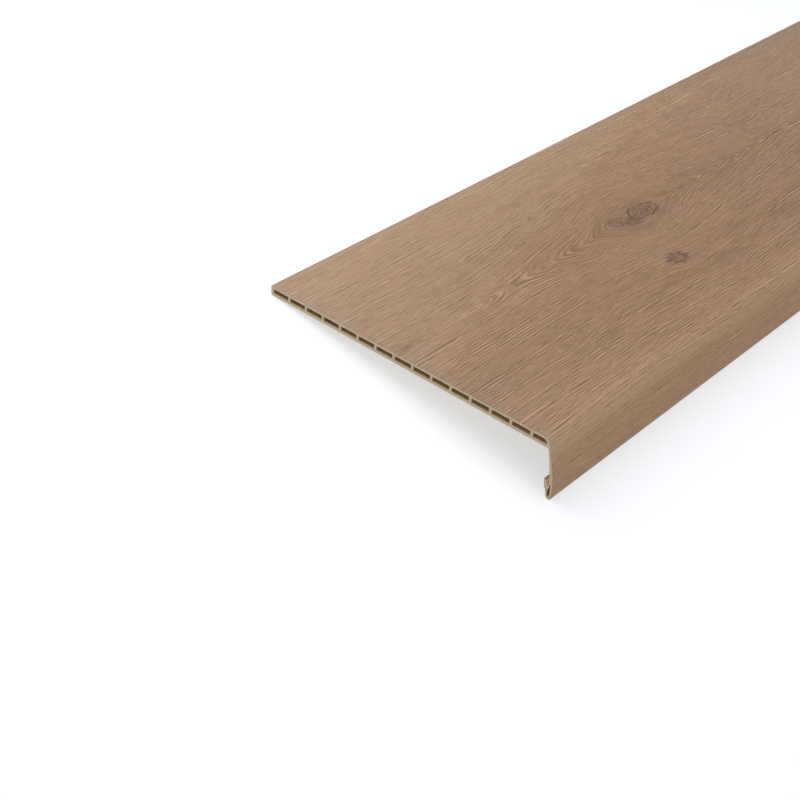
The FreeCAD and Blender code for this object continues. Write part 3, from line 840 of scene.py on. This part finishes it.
def finish(tree, geometry, given, wanted):
    real = tree.geometry("RealizeInstances", {0: geometry})
    tree.feed(wanted, {0: tree.geometry("SetMaterial", {"Geometry": real, "Material": given["Material"]})})


def new_object(name, data, place=(0, 0, 0), turn=(0, 0, 0)):
    holder = bpy.data.objects.new(name, data)
    holder.location, holder.rotation_euler = place, turn
    bpy.context.scene.collection.objects.link(holder)
    return holder


def grow(name, mesh, group, inputs, place, chamfer):
    """A finished piece: the tree run on the mesh, laid in its place with its sharp edges broken."""
    source = new_object(name + "_section", mesh)
    modifier = source.modifiers.new("Made by", "NODES")
    modifier.node_group = group
    sockets = {item.name: item.identifier for item in group.interface.items_tree if item.in_out == "INPUT"}
    for label, value in inputs.items():
        modifier[sockets[label]] = value
    edge = source.modifiers.new("Broken edges", "BEVEL")
    edge.width = chamfer
    edge.segments = 2
    edge.angle_limit = BROKEN_FROM
    depsgraph = bpy.context.evaluated_depsgraph_get()
    made = bpy.data.meshes.new_from_object(source.evaluated_get(depsgraph), preserve_all_data_layers=True,
                                           depsgraph=depsgraph)
    if not made.polygons:
        raise RuntimeError(f"{name} came out empty")
    source.modifiers.clear()
    bpy.data.objects.remove(source)
    made.name = name
    made.transform(place)
    made.shade_smooth()
    made.set_sharp_from_angle(angle=SHARP_FROM)
    return new_object(name, made)


# Operators


class TREAD_OT_board(Operator):
    """Makes the hollow board with its chambers, nose wall, toe and lip"""
    bl_idname = "tread.board"
    bl_label = "Hollow board"

    def execute(self, context):
        tread = context.scene.tread
        board = tread.board
        skin = inset(decor_path(tread), tread.decor.thickness)
        loops = [skin + bare_path(tread), front_chamber_loop(tread), toe_chamber_loop(tread)]
        points, edges = [], []
        for loop in loops:
            first = len(points)
            points += [(p.x, p.y, 0) for p in loop]
            edges += [(first + i, first + (i + 1) % len(loop)) for i in range(len(loop))]
        mesh = bpy.data.meshes.new("board_outline")
        mesh.from_pydata(points, edges, [])
        outside = len(loops[0])
        # Marks the chambers' points, where the compound gets its painted shade
        mesh.attributes.new(CHAMBER, "FLOAT", "POINT").data.foreach_set(
            "value", [0.0] * outside + [1.0] * (len(points) - outside))
        inputs = {
            "Length": board.tread_length,
            "Chambers": board.chamber_count,
            "Pitch": board.chamber_width + board.web_thickness,
            "Chamber Width": board.chamber_width,
            "Chamber Height": board.board_thickness - board.top_skin - board.bottom_skin,
            "Chamber Corner": board.chamber_corner,
            "First Chamber": (-board.back_wall - board.chamber_width / 2,
                              (board.bottom_skin - board.top_skin - board.board_thickness) / 2, 0),
            "Material": compound_material(tread),
        }
        piece = grow("hollow_board", mesh, shared(hollow_board_group), inputs, resting_place(tread), board.end_chamfer)
        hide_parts(NODE)
        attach(piece, "root")
        return {"FINISHED"}


class TREAD_OT_decor(Operator):
    """Makes the oak decor over the walking face, the nose, the toe and the lip"""
    bl_idname = "tread.decor"
    bl_label = "Oak decor"

    def execute(self, context):
        tread = context.scene.tread
        outer = decor_path(tread)
        inner = inset(outer, tread.decor.thickness)
        run = [0.0]
        for a, b in zip(outer, outer[1:]):
            run.append(run[-1] + (b - a).length)
        count = len(outer)
        mesh = bpy.data.meshes.new("decor_section")
        mesh.from_pydata([(p.x, p.y, 0) for p in outer + inner], [],
                         [(i, i + 1, count + i + 1, count + i) for i in range(count - 1)])
        mesh.attributes.new(ACROSS, "FLOAT", "POINT").data.foreach_set("value", run + run)
        inputs = {"Length": tread.board.tread_length, "Material": oak_material(tread.decor)}
        piece = grow("oak_decor", mesh, shared(bonded_decor_group), inputs, resting_place(tread),
                     tread.decor.thickness / 4)
        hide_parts(NODE)
        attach(piece, "root")
        return {"FINISHED"}


class TREAD_OT_studio(Operator):
    """Sets up the floor, the soft light and the camera"""
    bl_idname = "tread.studio"
    bl_label = "Studio"

    def execute(self, context):
        studio = context.scene.tread.studio
        self.make_floor(studio)
        self.make_light(context.scene, studio)
        self.make_camera(context.scene, studio)
        context.scene.view_settings.view_transform = "Standard"
        return {"FINISHED"}

    def make_floor(self, studio):
        mesh = bpy.data.meshes.new("floor")
        mesh.from_pydata([(x * FLOOR_HALF, y * FLOOR_HALF, 0) for x, y in ((-1, -1), (1, -1), (1, 1), (-1, 1))],
                         [], [(0, 1, 2, 3)])
        material, tree, shader = new_material("Pale floor")
        seen = seen_directly(tree)
        shade = tree.blend(seen, studio.floor_colour, studio.floor_seen)
        tree.feed(shader, {"Base Color": shade, "Roughness": 0.9, "Specular IOR Level": 0.0})
        at = tree.add("ShaderNodeTexCoord").outputs["Object"]
        far = tree.add("ShaderNodeVectorMath", {0: at}, operation="LENGTH").outputs["Value"]
        white = tree.band(far, 1.0, 4.0, studio.floor_white, 1.0)
        glow = tree.add("ShaderNodeEmission", {"Color": (1, 1, 1, 1), "Strength": tree.product(seen, white)})
        total = tree.add("ShaderNodeAddShader", {0: shader.outputs[0], 1: glow.outputs[0]})
        tree.feed(material.node_tree.nodes["Material Output"], {"Surface": total.outputs[0]})
        mesh.materials.append(material)
        floor = new_object("floor", mesh)

    def make_light(self, scene, studio):
        world = bpy.data.worlds.new("Studio")
        world.use_nodes = True
        scene.world = world
        tree = Tree(world.node_tree)
        strength = tree.mix(seen_directly(tree), studio.sky, studio.backdrop)
        tree.feed(world.node_tree.nodes["Background"], {"Color": (1, 1, 1, 1), "Strength": strength})
        self.make_lamp("Back lamp", studio.back_lamp, (-0.45, 0.75, 0.9), (-0.35, 0.0, 0.0))
        self.make_lamp("Front lamp", studio.front_lamp, (-0.3, -1.7, 0.8), (-0.1, -0.1, 0.0))

    def make_lamp(self, name, power, place, target):
        lamp = bpy.data.lights.new(name, "AREA")
        lamp.shape = "DISK"
        lamp.size = LAMP_SIZE
        lamp.energy = power
        new_object(name, lamp, place, (Vector(target) - Vector(place)).to_track_quat("-Z", "Y").to_euler())

    def make_camera(self, scene, studio):
        camera = bpy.data.cameras.new("Camera")
        camera.lens = studio.focal_length
        camera.sensor_width = SENSOR_WIDTH
        camera.clip_end = 60
        scene.camera = new_object("Camera", camera, studio.camera_place, studio.camera_turn)


def seen_directly(tree):
    """One for what the camera sees, directly or in a reflection or through glass."""
    path = tree.add("ShaderNodeLightPath").outputs
    seen = tree.plus(path["Is Camera Ray"], path["Is Glossy Ray"], clamp=True)
    return tree.plus(seen, path["Is Transmission Ray"], clamp=True)


class TREAD_PT_panel(Panel):
    """Sizes, colours and makers of the stair tread"""
    bl_idname = "TREAD_PT_panel"
    bl_label = "Stair tread"
    bl_space_type = "VIEW_3D"
    bl_region_type = "UI"
    bl_category = "Stair tread"

    def draw(self, context):
        tread = context.scene.tread
        for operator in OPERATORS:
            self.layout.operator(operator.bl_idname)
        for part in TREAD_PG_all.__annotations__:
            box = self.layout.box()
            box.label(text=part.title())
            group = getattr(tread, part)
            for size in group.__annotations__:
                box.prop(group, size)


OPERATORS = (TREAD_OT_board, TREAD_OT_decor, TREAD_OT_studio)
CLASSES = (TREAD_PG_board, TREAD_PG_nose, TREAD_PG_toe, TREAD_PG_decor, TREAD_PG_compound, TREAD_PG_studio,
           TREAD_PG_all, *OPERATORS, TREAD_PT_panel)


def register():
    for cls in CLASSES:
        bpy.utils.register_class(cls)
    bpy.types.Scene.tread = PointerProperty(type=TREAD_PG_all)


def unregister():
    del bpy.types.Scene.tread
    for cls in reversed(CLASSES):
        bpy.utils.unregister_class(cls)


def main():
    register()
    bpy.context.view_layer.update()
    bpy.ops.tread.board()
    bpy.ops.tread.decor()
    bpy.ops.tread.studio()


if __name__ == "__main__":
    main()
